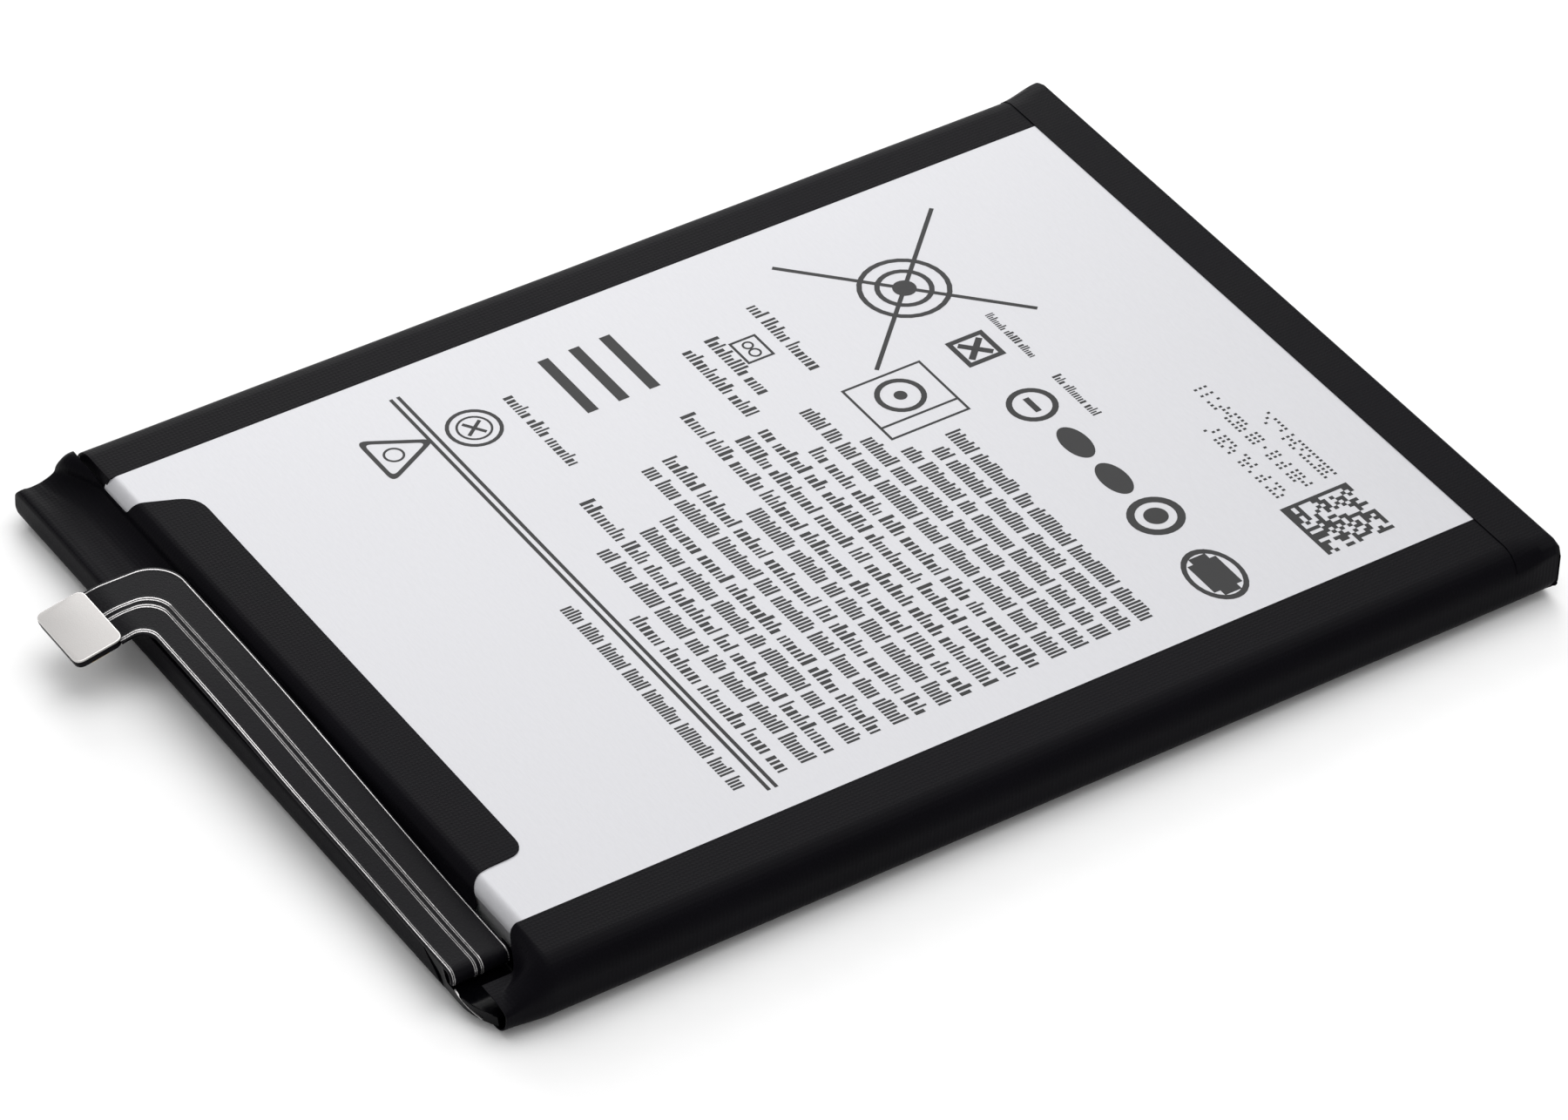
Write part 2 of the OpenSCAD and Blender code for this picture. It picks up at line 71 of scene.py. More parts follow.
LABEL_LOW, LABEL_HIGH = node_box("label")
HEAD_LOW, HEAD_HIGH = node_box("head_tape")
SIDE_HIGH = node_box("side_tape_right")[1]
TAIL_HIGH = node_box("tail_tape")[1]
FOLD_LOW, FOLD_HIGH = node_box("flex_fold")
ARM_LOW, ARM_HIGH = node_box("arm_cover_film")

# Thickness of the wrap tape, the flex, the laminate that shows, and a printed mark
TAPE_T = 0.09
FLEX_T = 0.18
BACK_FILM_T = 0.07
INK_T = 0.012

# Faces and edges of the pack: the shoulder is where the label drops to the terrace
LABEL_Z = LABEL_HIGH.z
TOP_Z = HEAD_HIGH.z
LABEL_X = LABEL_HIGH.x
LABEL_TAIL_Y = LABEL_HIGH.y
SHOULDER_R = 0.99
SHOULDER_Y = LABEL_LOW.y + 0.12
SHOULDER_Z = LABEL_Z - SHOULDER_R
FRONT_Y = HEAD_LOW.y
TERRACE_Z = 2.6
TAIL_Y = TAIL_HIGH.y
SIDE_X = SIDE_HIGH.x
SIDE_TOP_R = 1.91
SIDE_BASE_R = 1.4
TAIL_EDGE_R = 0.5
TAIL_BASE_R = 1.2
TAB_Y = HEAD_HIGH.y
# Where the long edges begin to drop towards the terrace
DROP_Y = -39.3

# Flex: the fold, the arm, the bend, the neck and the tail under the plate
FOLD_X = FOLD_LOW.x
FOLD_Z = (FOLD_LOW.z + FOLD_HIGH.z) / 2
FOLD_R = (FOLD_HIGH.z - FOLD_LOW.z - FLEX_T) / 2
ARM_Y0 = FOLD_LOW.y
ARM_Y1 = FOLD_HIGH.y
ARM_Z0 = FOLD_HIGH.z - FLEX_T / 2
ARM_Z1 = ARM_HIGH.z - FLEX_T / 2
NECK_X0 = ARM_LOW.x
NECK_X1 = node_box("flex_neck")[1].x
# The arm lies straight as far as BEND_X, then turns into the neck
BEND_X = NECK_X1 + 4
BEND_OUTER_R = 2.6
BEND_INNER_R = 1.2
# The two flex strips meet here, clear of both joints
SEAM_X = 20.0
PIVOT = Vector(((NECK_X0 + NECK_X1) / 2, ARM_Y0 - 1, ARM_Z1))
DROOP = math.radians(11.5)
# Plate over the connector: its distance from the neck's pivot, its size, the glue under it
PLATE_GAP = 1.0
PLATE_LEN = 3.8
PLATE_W = 5.95
PLATE_T = 0.16
PLATE_R = 0.7
GLUE_T = 0.04
# How much wider the film looks than the CAD's flex, at the neck and along the arm's end
NECK_EXTRA = 0.35
ARM_EXTRA = 0.22


# ---------- small maths ----------

def smooth(s):
    """0 below 0, 1 above 1, with a soft start and end."""
    s = min(max(s, 0.0), 1.0)
    return s * s * (3 - 2 * s)


def mix(a, b, s):
    return a + (b - a) * s


def bezier(a, b, c, s):
    """Point of a curve with one control point, each a pair."""
    return tuple(mix(mix(p, q, s), mix(q, r, s), s) for p, q, r in zip(a, b, c))


def ripple(x, y, length, seed=0.0):
    """Gentle uneven wave from -1 to 1, for tape that was laid by hand."""
    a = math.sin(2 * math.pi * x / length + 1.7 * seed)
    b = math.sin(2 * math.pi * (x * 0.37 + y * 0.61) / length + 4.1 + seed)
    c = math.sin(2 * math.pi * (y * 0.83 - x * 0.21) / length + 2.3 * seed)
    return (a + b + c) / 3


# ---------- materials ----------

class Shader:
    """A Principled material whose colour, roughness and bump come from noise in object space."""

    def __init__(self, name):
        self.material = bpy.data.materials.new(name)
        self.material.use_nodes = True
        self.nodes = self.material.node_tree.nodes
        self.links = self.material.node_tree.links
        self.bsdf = self.nodes["Principled BSDF"]
        self.place = self.nodes.new("ShaderNodeTexCoord").outputs["Object"]

    def noise(self, size_mm, stretch=(1, 1, 1), detail=2.0):
        """Noise whose grains are size_mm across, times the stretch along each axis."""
        mapping = self.nodes.new("ShaderNodeMapping")
        mapping.inputs["Scale"].default_value = [1 / s for s in stretch]
        self.links.new(self.place, mapping.inputs["Vector"])
        noise = self.nodes.new("ShaderNodeTexNoise")
        noise.inputs["Scale"].default_value = 1 / (size_mm * MM)
        noise.inputs["Detail"].default_value = detail
        self.links.new(mapping.outputs["Vector"], noise.inputs["Vector"])
        return noise.outputs["Fac"]

    def threads(self, pitch_mm, direction):
        """Parallel threads that run across a direction."""
        wave = self.nodes.new("ShaderNodeTexWave")
        wave.bands_direction = direction
        wave.inputs["Scale"].default_value = 1 / (pitch_mm * MM) / 3.2
        wave.inputs["Distortion"].default_value = 1.5
        self.links.new(self.place, wave.inputs["Vector"])
        return wave.outputs["Fac"]

    def combine(self, operation, a, b):
        node = self.nodes.new("ShaderNodeMath")
        node.operation = operation
        self.links.new(a, node.inputs[0])
        if isinstance(b, float):
            node.inputs[1].default_value = b
        else:
            self.links.new(b, node.inputs[1])
        return node.outputs["Value"]

    def colour(self, factor, low, high):
        ramp = self.nodes.new("ShaderNodeValToRGB")
        ramp.color_ramp.elements[0].position = 0.3
        ramp.color_ramp.elements[0].color = (*low, 1)
        ramp.color_ramp.elements[1].position = 0.7
        ramp.color_ramp.elements[1].color = (*high, 1)
        self.links.new(factor, ramp.inputs["Fac"])
        self.links.new(ramp.outputs["Color"], self.bsdf.inputs["Base Color"])

    def roughness(self, factor, low, high):
        span = self.nodes.new("ShaderNodeMapRange")
        span.inputs["From Min"].default_value = 0.3
        span.inputs["From Max"].default_value = 0.7
        span.inputs["To Min"].default_value = low
        span.inputs["To Max"].default_value = high
        self.links.new(factor, span.inputs["Value"])
        self.links.new(span.outputs["Result"], self.bsdf.inputs["Roughness"])

    def bump(self, height, depth_mm, strength):
        node = self.nodes.new("ShaderNodeBump")
        node.inputs["Distance"].default_value = depth_mm * MM
        node.inputs["Strength"].default_value = strength
        self.links.new(height, node.inputs["Height"])
        self.links.new(node.outputs["Normal"], self.bsdf.inputs["Normal"])


def grained(name, colour, rough, grain, depth, spread=0.12, metal=0.0, specular=0.5,
            stretch=(1, 1, 1), weave=0.0, coat=0.0, broad=9.0):
    """A material with fine grain, broad unevenness, and threads where weave is their pitch."""
    shader = Shader(name)
    shader.bsdf.inputs["Metallic"].default_value = metal
    shader.bsdf.inputs["Specular IOR Level"].default_value = specular
    shader.bsdf.inputs["Coat Weight"].default_value = coat
    shader.bsdf.inputs["Coat Roughness"].default_value = 0.08
    fine = shader.noise(grain, stretch)
    wide = shader.noise(broad, stretch=(1, 1.6, 1), detail=3.0)
    both = shader.combine("MULTIPLY", shader.combine("ADD", fine, wide), 0.5)
    low = [c * (1 - spread) for c in colour]
    high = [min(c * (1 + spread), 1.0) for c in colour]
    shader.colour(both, low, high)
    shader.roughness(both, max(rough - 0.06, 0.03), min(rough + 0.06, 1.0))
    height = fine
    if weave:
        cloth = shader.combine("MULTIPLY", shader.threads(weave, "X"), shader.threads(weave, "Y"))
        height = shader.combine("ADD", shader.combine("MULTIPLY", cloth, 0.8), fine)
    shader.bump(height, depth, 0.6)
    return shader.material


MATERIALS = {
    "pouch_laminate": grained("pouch_laminate", (0.62, 0.62, 0.64), 0.38, 0.12, 0.006, metal=0.75),
    "label_print": grained("label_print", (0.47, 0.47, 0.49), 0.42, 0.13, 0.006, spread=0.045,
                           metal=0.25, stretch=(5, 1, 1), broad=22.0),
    "black_tape": grained("black_tape", (0.0026, 0.0023, 0.0036), 0.44, 0.10, 0.018, spread=0.4,
                          specular=0.038, weave=0.3),
    "gloss_tape": grained("gloss_tape", (0.0012, 0.0012, 0.0018), 0.18, 0.6, 0.01, specular=0.06),
    "flex_film": grained("flex_film", (0.0040, 0.0037, 0.0050), 0.36, 0.16, 0.024, spread=0.3,
                         specular=0.05),
    "copper": grained("copper", (0.72, 0.36, 0.20), 0.3, 0.1, 0.004, metal=1.0, stretch=(6, 1, 1)),
    "cathode_foil": grained("cathode_foil", (0.05, 0.05, 0.055), 0.8, 0.08, 0.01),
    "anode_foil": grained("anode_foil", (0.07, 0.065, 0.06), 0.75, 0.08, 0.01),
    "separator": grained("separator", (0.85, 0.85, 0.82), 0.6, 0.05, 0.004, spread=0.04),
    "roll_tape": grained("roll_tape", (0.10, 0.32, 0.60), 0.35, 0.2, 0.006),
    "tab_aluminium": grained("tab_aluminium", (0.75, 0.76, 0.78), 0.3, 0.1, 0.004, metal=1.0,
                             stretch=(1, 8, 1)),
    "tab_nickel": grained("tab_nickel", (0.60, 0.58, 0.53), 0.32, 0.1, 0.004, metal=1.0,
                          stretch=(1, 8, 1)),
    "tab_film": grained("tab_film", (0.80, 0.77, 0.66), 0.45, 0.2, 0.006, spread=0.06),
    "foam": grained("foam", (0.02, 0.02, 0.022), 0.9, 0.12, 0.05, spread=0.4, specular=0.2),
    "board": grained("board", (0.01, 0.10, 0.045), 0.3, 0.3, 0.01, coat=0.3),
    "black_epoxy": grained("black_epoxy", (0.012, 0.012, 0.014), 0.55, 0.06, 0.008, spread=0.3),
    "chip_body": grained("chip_body", (0.36, 0.27, 0.18), 0.5, 0.08, 0.006),
    "polyimide": grained("polyimide", (0.50, 0.20, 0.02), 0.25, 0.5, 0.006, coat=0.3),
    "stiffener": grained("stiffener", (0.50, 0.485, 0.475), 0.5, 0.09, 0.012, spread=0.05,
                         metal=0.35, broad=4.0),
    "glue": grained("glue", (0.20, 0.17, 0.13), 0.5, 0.1, 0.006),
    "connector_plastic": grained("connector_plastic", (0.012, 0.012, 0.014), 0.45, 0.07, 0.006,
                                 spread=0.3),
    "contact_gold": grained("contact_gold", (0.80, 0.56, 0.18), 0.22, 0.08, 0.003, metal=1.0),
}
INK = grained("ink", (0.010, 0.010, 0.011), 0.5, 0.08, 0.004, spread=0.3, specular=0.25)
# Light grey metallic colour for the flex's ridges and the board film's edge: a painted highlight
# along these thin lines
PAINTED_LINE_HIGHLIGHT = grained("painted_line_highlight", (0.42, 0.41, 0.41), 0.26, 0.10, 0.02, spread=0.5, metal=0.7,
                stretch=(3, 1, 1))
# Lighter, shinier copy of the plate's colour for its rounded rim: a painted highlight
RIM_HIGHLIGHT = grained("rim_highlight", (0.80, 0.78, 0.76), 0.25, 0.1, 0.004, metal=0.6)


# ---------- mesh building ----------

def add_piece(name, points, faces, materials, body=None, replaces=(), face_kinds=None,
              sharp=35):
    """Makes a smooth mesh from points in millimetres; edges sharper than an angle stay crisp."""
    mesh = bpy.data.meshes.new(name)
    mesh.from_pydata([Vector(p) * MM for p in points], [], faces)
    for kind in materials:
        mesh.materials.append(kind)
    if face_kinds:
        mesh.polygons.foreach_set("material_index", face_kinds)
    mesh.validate()
    form = bmesh.new()
    form.from_mesh(mesh)
    bmesh.ops.recalc_face_normals(form, faces=form.faces)
    form.to_mesh(mesh)
    form.free()
    mesh.shade_smooth()
    mesh.set_sharp_from_angle(angle=math.radians(sharp))
    piece = bpy.data.objects.new(name, mesh)
    bpy.context.collection.objects.link(piece)
    if body:
        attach(piece, body)
    if replaces:
        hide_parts(*replaces)
    return piece


def shell(flat, faces, place, thickness):
    """Closed sheet: the outer face is place(u, v), the inner face lies one thickness below it."""
    step = 0.02
    outer, inner = [], []
    for u, v in flat:
        here = Vector(place(u, v))
        along = Vector(place(u + step, v)) - Vector(place(u - step, v))
        across = Vector(place(u, v + step)) - Vector(place(u, v - step))
        outer.append(here)
        inner.append(here - along.cross(across).normalized() * thickness)
    count = len(outer)
    edges = {}
    for face in faces:
        for a, b in zip(face, face[1:] + face[:1]):
            edges[(a, b)] = edges.get((a, b), 0) + 1
    closed = [list(f) for f in faces]
    closed += [[count + i for i in reversed(f)] for f in faces]
    closed += [[b, a, count + a, count + b] for a, b in edges if (b, a) not in edges]
    return outer + inner, closed


def boxed(points):
    """The points, held inside the pack's own box."""
    return [
        (min(max(x, -SIDE_X), SIDE_X), min(max(y, FRONT_Y), TAIL_Y), min(max(z, 0.0), TOP_Z))
        for x, y, z in points
    ]


def grid(us, vs):
    """Flat points and quads over two lists of values."""
    flat = [(u, v) for u in us for v in vs]
    width = len(vs)
    faces = [
        [i * width + j, (i + 1) * width + j, (i + 1) * width + j + 1, i * width + j + 1]
        for i in range(len(us) - 1) for j in range(width - 1)
    ]
    return flat, faces


def spread(low, high, count):
    return [mix(low, high, i / count) for i in range(count + 1)]


def filled(outline, step_u, step_v):
    """Triangles inside an outline, with a row of points every step."""
    us = [p[0] for p in outline]
    vs = [p[1] for p in outline]
    inside = []
    for i in range(int((max(us) - min(us)) / step_u)):
        for j in range(int((max(vs) - min(vs)) / step_v)):
            inside.append((min(us) + (i + 0.5) * step_u, min(vs) + (j + 0.5) * step_v))
    points = [Vector(p) for p in outline + inside]
    border = [list(range(len(outline)))]
    flat, _, faces, *_ = delaunay_2d_cdt(points, [], border, 1, 1e-4)
    return [tuple(p) for p in flat], [list(f) for f in faces]


def subdivided(outline, step):
    """The outline with its long edges cut into short ones."""
    points = []
    for a, b in zip(outline, outline[1:] + outline[:1]):
        pieces = max(1, math.ceil(math.dist(a, b) / step))
        points += [tuple(mix(p, q, i / pieces) for p, q in zip(a, b)) for i in range(pieces)]
    return points


def rounded(outline, radii, steps=6):
    """Replaces each corner by a curve that starts and ends one radius away from it."""
    points = []
    for i, corner in enumerate(outline):
        c = Vector(corner)
        if radii[i] == 0:
            points.append(tuple(c))
            continue
        before = (Vector(outline[i - 1]) - c).normalized() * radii[i]
        after = (Vector(outline[(i + 1) % len(outline)]) - c).normalized() * radii[i]
        for k in range(steps + 1):
            points.append(bezier(c + before, c, c + after, k / steps))
    return points


# ---------- label and its printing ----------

def label_point(x, y):
    """The label's face, a little uneven, rolled over the shoulder past its head edge."""
    z = LABEL_Z - 0.006 + 0.006 * ripple(x, y, 31)
    if y >= SHOULDER_Y:
        return x, y, z
    turn = (SHOULDER_Y - y) / SHOULDER_R
    return x, SHOULDER_Y - SHOULDER_R * math.sin(turn), SHOULDER_Z + SHOULDER_R * math.cos(turn)


def make_label():
    over = SHOULDER_Y - SHOULDER_R * math.pi / 2
    ys = spread(LABEL_TAIL_Y + 0.3, SHOULDER_Y + 0.05, 60) + spread(SHOULDER_Y, over, 12)
    flat, faces = grid(list(reversed(spread(-LABEL_X - 0.5, LABEL_X + 0.1, 40))), ys)
    points, closed = shell(flat, faces, label_point, TAPE_T)
    add_piece("label_sheet", points, closed, [MATERIALS["label_print"]], "pack",
              ["label"])


class Print:
    """Collects flat marks and raises them into one thin layer of ink."""

    SINK = 0.004
    SEGMENTS = 28

    def __init__(self):
        self.points = []
        self.faces = []

    def polygon(self, outline):
        start = len(self.points)
        count = len(outline)
        for lift in (INK_T, -self.SINK):
            for x, y in outline:
                px, py, pz = label_point(x, y)
                self.points.append((px, py, pz + lift))
        top = list(range(start, start + count))
        self.faces.append(top)
        self.faces.append([i + count for i in reversed(top)])
        for a, b in zip(top, top[1:] + top[:1]):
            self.faces.append([b, a, a + count, b + count])

    def bar(self, x, y, length, width, angle=0.0):
        """A bar centred on a place."""
        c, s = math.cos(angle), math.sin(angle)
        corners = [(-length / 2, -width / 2), (length / 2, -width / 2),
                   (length / 2, width / 2), (-length / 2, width / 2)]
        self.polygon([(x + c * a - s * b, y + s * a + c * b) for a, b in corners])

    def ring(self, x, y, radius, stroke, squash=1.0):
        """A ring, as a row of short strokes."""
        inner = radius - stroke
        for i in range(self.SEGMENTS):
            corners = []
            for a, r in ((i, inner), (i, radius), (i + 1, radius), (i + 1, inner)):
                angle = 2 * math.pi * a / self.SEGMENTS
                corners.append((x + r * math.cos(angle), y + squash * r * math.sin(angle)))
            self.polygon(list(reversed(corners)))

    def disc(self, x, y, radius, squash=1.0):
        angles = [2 * math.pi * i / 32 for i in range(32)]
        self.polygon([
            (x + radius * math.cos(a), y + squash * radius * math.sin(a)) for a in angles
        ])

    def frame(self, x0, x1, y0, y1, stroke):
        """The border of a rectangle."""
        self.bar((x0 + x1) / 2, y0 + stroke / 2, x1 - x0, stroke)
        self.bar((x0 + x1) / 2, y1 - stroke / 2, x1 - x0, stroke)
        self.bar(x0 + stroke / 2, (y0 + y1) / 2, stroke, y1 - y0 - 2 * stroke)
        self.bar(x1 - stroke / 2, (y0 + y1) / 2, stroke, y1 - y0 - 2 * stroke)

    def text_line(self, x_start, x_end, y, cap, rng, dense=False):
        """A greeked line that runs towards -X: words of plain ticks, with no letters in them."""
        x = x_start
        while x > x_end + cap:
            for _ in range(rng.randint(4, 14)):
                width = cap * (0.16 if dense else rng.choice((0.14, 0.18, 0.26)))
                tall = cap * (rng.choice((0.8, 1.0)) if dense else rng.choice((0.6, 0.66, 0.95)))
                if x - width < x_end:
                    return
                self.bar(x - width / 2, y - (cap - tall) / 2, width, tall)
                x -= width + cap * (0.11 if dense else 0.15)
            x -= 0.3 * cap


def print_rules(ink):
    """The two thin lines that close the text block."""
    for y in (-18.0, -17.4):
        ink.bar(0, y, 48.8, 0.28)


def print_left_marks(ink, rng):
    """Generic marks down the far side: triangle, ring, strokes, small square, text lines."""
    triangle = rounded([(-16.4, -22.6), (-19.0, -17.6), (-21.7, -22.6)], [0.9] * 3, 5)
    inner = rounded([(-17.0, -22.25), (-19.0, -18.35), (-21.1, -22.25)], [0.6] * 3, 5)
    for i in range(len(triangle)):
        k = (i + 1) % len(triangle)
        ink.polygon([triangle[i], triangle[k], inner[k], inner[i]])
    ink.ring(-19.0, -21.0, 0.8, 0.18)
    ink.ring(-18.6, -14.6, 2.1, 0.3)
    ink.ring(-18.6, -14.6, 1.35, 0.18)
    ink.bar(-18.6, -14.6, 1.9, 0.28, 0.6)
    ink.bar(-18.6, -14.6, 1.9, 0.28, 2.2)
    ink.text_line(-11.5, -20.4, -10.6, 1.15, rng)
    for k in range(3):
        ink.bar(-19.2, -6.4 + 2.6 * k, 6.8, 0.9)
    for i, y in enumerate((3.1, 5.2, 9.9)):
        ink.text_line((-9.6, -11.2, -11.6)[i], (-19.8, -18.6, -20.2)[i], y, 1.25, rng)
    ink.frame(-17.2, -14.5, 5.9, 8.2, 0.2)
    ink.ring(-15.4, 7.05, 0.5, 0.16)
    ink.ring(-16.35, 7.05, 0.45, 0.16)


def print_tail_marks(ink, rng):
    """Generic marks towards the tail: a target with crossed bars, squares, rings and ovals."""
    ink.bar(-16.0, 20.4, 19.6, 0.34, 0.78)
    ink.bar(-16.0, 20.4, 19.6, 0.34, 2.34)
    ink.ring(-16.0, 20.4, 3.5, 0.4)
    ink.ring(-16.0, 20.4, 2.2, 0.4)
    ink.disc(-16.0, 20.4, 0.9)
    ink.frame(-9.1, -5.9, 19.2, 22.4, 0.42)
    ink.bar(-7.5, 20.8, 2.6, 0.5, 0.78)
    ink.bar(-7.5, 20.8, 2.6, 0.5, 2.34)
    ink.text_line(-4.6, -10.6, 23.9, 0.7, rng)
    ink.frame(-8.5, -2.0, 9.8, 16.6, 0.2)
    ink.bar(-3.5, 13.2, 0.2, 6.4)
    ink.ring(-5.9, 13.2, 1.9, 0.42)
    ink.disc(-5.9, 13.2, 0.5)
    ink.ring(-0.1, 20.6, 1.9, 0.46)
    ink.bar(-0.1, 20.6, 1.7, 0.5)
    ink.text_line(3.2, -2.0, 24.0, 0.8, rng)
    ink.disc(5.0, 20.8, 1.9, squash=0.55)
    ink.disc(9.7, 20.8, 1.9, squash=0.55)
    ink.ring(14.6, 20.9, 2.1, 0.6)
    ink.disc(14.6, 20.9, 0.9)
    ink.ring(21.9, 20.7, 2.9, 0.5, squash=0.72)
    ink.bar(21.9, 20.7, 3.2, 2.4)
    ink.bar(21.9, 20.7, 4.4, 1.4)


def print_data_block(ink, rng):
    """A speckled square and three dotted lines, which hold no data."""
    cell = 0.34
    cells = 17
    for i in range(cells):
        for j in range(cells):
            edge = i == 0 or j == 0
            if edge or rng.random() < 0.48:
                ink.bar(18.6 + cell * (i + 0.5), 28.7 + cell * (j + 0.5), cell, cell)
    for row, x_end in enumerate((8.6, 4.6, 9.4)):
        x = 17.4
        while x > x_end:
            for k in range(3):
                if rng.random() < 0.75:
                    ink.bar(x, 29.4 + 2.1 * row + 0.42 * k, 0.2, 0.24)
            x -= 0.42 if rng.random() < 0.8 else 0.8


# Where each line of the text block ends, from the head up; all start at the near margin
TEXT_ENDS = (4.6, -2.6, -9.4, -4.2, -3.4, -8.6, -8.8, -1.6, -12.4, -8.0, -7.8, -4.4, -8.4, -3.2,
             -0.9, -1.2, -0.6)
DENSE_LINES = (1, 3, 5, 7, 12, 13, 14, 15, 16)


def print_text_block(ink, rng):
    """The near half's block of greeked lines, and the one line below the rules."""
    ink.text_line(23.2, 1.1, -19.5, 1.15, rng, dense=True)
    for i, end in enumerate(TEXT_ENDS):
        ink.text_line(23.3, end, -15.9 + 1.87 * i, 1.28, rng, i in DENSE_LINES)


def make_print():
    rng = random.Random(7)
    ink = Print()
    print_rules(ink)
    print_left_marks(ink, rng)
    print_tail_marks(ink, rng)
    print_data_block(ink, rng)
    print_text_block(ink, rng)
    add_piece("label_ink", ink.points, ink.faces, [INK], "pack")


# ---------- wrap tapes ----------

def near_height(y, s):
    """Height of the near long edge: it drops fast beside the fold and slowly along its outside."""
    reach = mix(1.7, 4.0, smooth(s / 0.35))
    return mix(LABEL_Z, TERRACE_Z - 0.25, smooth((DROP_Y - y) / reach))


def far_profile(s, y):
    """The far side: its section drops and tightens beside the terrace."""
    fall = smooth((DROP_Y - y) / 0.9)
    top = mix(LABEL_Z, TERRACE_Z - 0.8, fall)
    outer = SIDE_X - 0.1 * smooth((-39.6 - y) / 0.8)
    top_r = mix(mix(SIDE_TOP_R, 0.75, fall), 0.95, smooth((y - 39.9) / 3.2))
    return section_point(s, LABEL_X + 0.35, outer, top, top_r)


def near_profile(s, y):
    """The near side: its edge turns away from the label beside the fold and sinks with it."""
    outer = SIDE_X - 0.35 * smooth((-39.6 - y) / 3.6)
    inner = LABEL_X + 1.9 * smooth((-39.7 - y) / 1.1) - 0.2
    top_r = mix(SIDE_TOP_R, 0.95, smooth((y - 39.9) / 3.2))
    x, z = section_point(s, inner, outer, LABEL_Z, top_r)
    if z > SIDE_BASE_R:
        high = near_height(y, s) - SIDE_BASE_R
        z = SIDE_BASE_R + (z - SIDE_BASE_R) * high / (LABEL_Z - SIDE_BASE_R)
    return x, z


def section_point(s, inner, outer, top, top_r):
    """Place on a plain C: flat face, rounded edge, upright side, rounded edge, flat base.

    s runs from 0 to 1, a fifth over each. A leg of two places is straight, and one of three is
    a quarter turn past its middle place.
    """
    base_x = outer - SIDE_BASE_R
    legs = (((inner, top), (outer - top_r, top)),
            ((outer - top_r, top), (outer, top), (outer, top - top_r)),
            ((outer, top - top_r), (outer, SIDE_BASE_R)),
            ((outer, SIDE_BASE_R), (outer, 0.0), (base_x, 0.0)),
            ((base_x, 0.0), (LABEL_X, 0.0)))
    leg = min(int(s * len(legs)), len(legs) - 1)
    t = s * len(legs) - leg
    if len(legs[leg]) == 2:
        a, b = legs[leg]
        return mix(a[0], b[0], t), mix(a[1], b[1], t)
    a, corner, b = legs[leg]
    angle = t * math.pi / 2
    weight = (1 - math.sin(angle), 1 - math.cos(angle))
    x = corner[0] + (a[0] - corner[0]) * weight[0] + (b[0] - corner[0]) * weight[1]
    z = corner[1] + (a[1] - corner[1]) * weight[0] + (b[1] - corner[1]) * weight[1]
    return x, z


# Nominal width of a side tape, from its edge on the label to its edge underneath
SIDE_RUN = 12.0


def side_point(side):
    """The mapping of one side tape: side is -1 for the far side and 1 for the near side."""
    far = side < 0

    def place(u, y):
        s = u / SIDE_RUN
        x, z = far_profile(s, y) if far else near_profile(s, y)
        tail = smooth((y - (TAIL_Y - 0.7)) / 0.6)
        z = mix(z, mix(z, 2.2, 0.12), tail)
        lift = 0.035 * ripple(y, s * 9, 17, side) * math.sin(math.pi * s) ** 2
        dent = 0.0
        if not far:
            dent = 0.16 * math.exp(-((y + 40.6) / 0.8) ** 2 - ((s - 0.3) / 0.1) ** 2)
        x = x - 0.03 + lift * 0.5 - dent * 0.5
        return side * x, y, max(z + (lift if z > 3 else 0) - dent, 0)
    return place


def make_side_tape(name, side, front):
    """A side tape from its front end to the tail, with closer rows at both ends."""
    ys = spread(front, -38.0, 44) + spread(-37.0, TAIL_Y - 1.2, 70)
    ys += spread(TAIL_Y - 1.0, TAIL_Y - 0.12, 6)
    flat, faces = grid(spread(0, SIDE_RUN, 60), ys)
    points, closed = shell(flat, faces, side_point(side), side * TAPE_T)
    add_piece(name + "_wrap", boxed(points), closed, [MATERIALS["black_tape"]], "pack",
              [name])


# Lengths of the tail tape's runs: face, rounded edge, upright end, rounded base, underside
TAIL_RUNS = (TAIL_Y - LABEL_TAIL_Y - TAIL_EDGE_R, TAIL_EDGE_R * math.pi / 2,
             TOP_Z - TAIL_EDGE_R - TAIL_BASE_R, TAIL_BASE_R * math.pi / 2, 3.1)


def tail_section(s):
    """Place (y, z) at a distance s from the tail tape's edge on the label."""
    face, edge, end, base, _ = TAIL_RUNS
    if s < face:
        return LABEL_TAIL_Y + s, TOP_Z
    if s < face + edge:
        a = (s - face) / TAIL_EDGE_R
        y = TAIL_Y - TAIL_EDGE_R + TAIL_EDGE_R * math.sin(a)
        return y, TOP_Z - TAIL_EDGE_R + TAIL_EDGE_R * math.cos(a)
    if s < face + edge + end:
        return TAIL_Y, TOP_Z - TAIL_EDGE_R - (s - face - edge)
    if s < face + edge + end + base:
        a = (s - face - edge - end) / TAIL_BASE_R
        y = TAIL_Y - TAIL_BASE_R + TAIL_BASE_R * math.cos(a)
        return y, TAIL_BASE_R - TAIL_BASE_R * math.sin(a)
    return TAIL_Y - TAIL_BASE_R - (s - face - edge - end - base), 0.0


